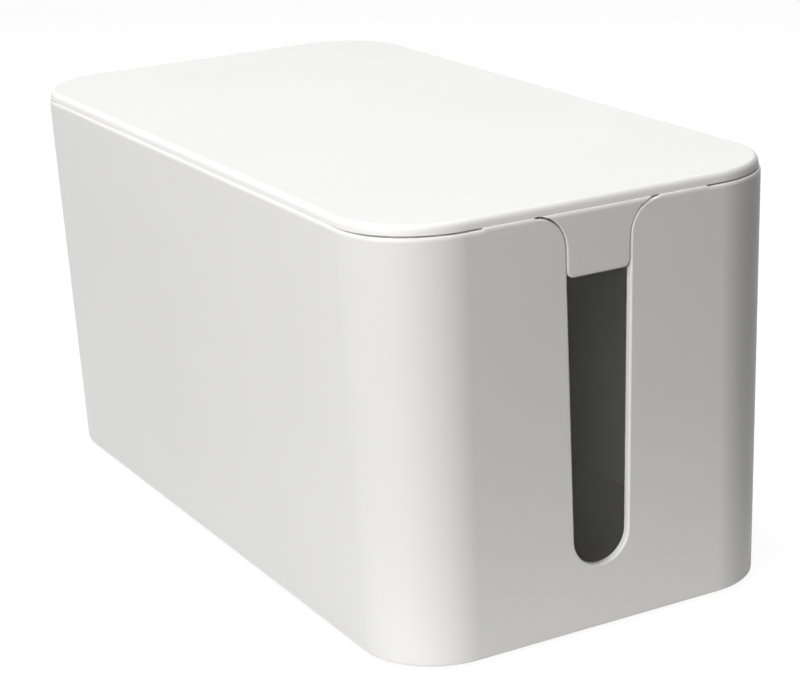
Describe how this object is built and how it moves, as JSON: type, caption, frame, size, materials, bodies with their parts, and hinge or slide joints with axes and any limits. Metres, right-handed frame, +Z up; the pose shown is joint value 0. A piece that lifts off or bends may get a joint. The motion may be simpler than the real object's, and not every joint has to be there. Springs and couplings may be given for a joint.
{
  "type": "cable management box",
  "caption": "White rounded box that hides a power strip and its cords, with a cable slot in each end wall and a lift-off lid whose tongues close the tops of the slots.",
  "frame": {"origin": "on the table, under the middle of the box", "axes": "+X along the box, towards the slot end that the picture shows; +Y across it, away from the long wall that the picture shows; +Z up"},
  "size_m": [0.235, 0.122, 0.116],
  "materials": {
    "case_white": "satin moulded white plastic",
    "lid_white": "white plastic with a fine matt grain on top",
    "tongue_white": "satin moulded white plastic",
    "foot_rubber": "matt grey rubber"
  },
  "bodies": {
    "case": {"case_tub": "case_white", "foot_front_left": "foot_rubber", "foot_front_right": "foot_rubber", "foot_rear_left": "foot_rubber", "foot_rear_right": "foot_rubber"},
    "lid": {"lid": "lid_white", "tongue_front": "tongue_white", "tongue_rear": "tongue_white"}
  },
  "joints": [
    {"name": "lid_lift", "type": "slide", "parent": "case", "child": "lid", "axis": [0, 0, 1], "range_m": [0, 0.12]}
  ]
}
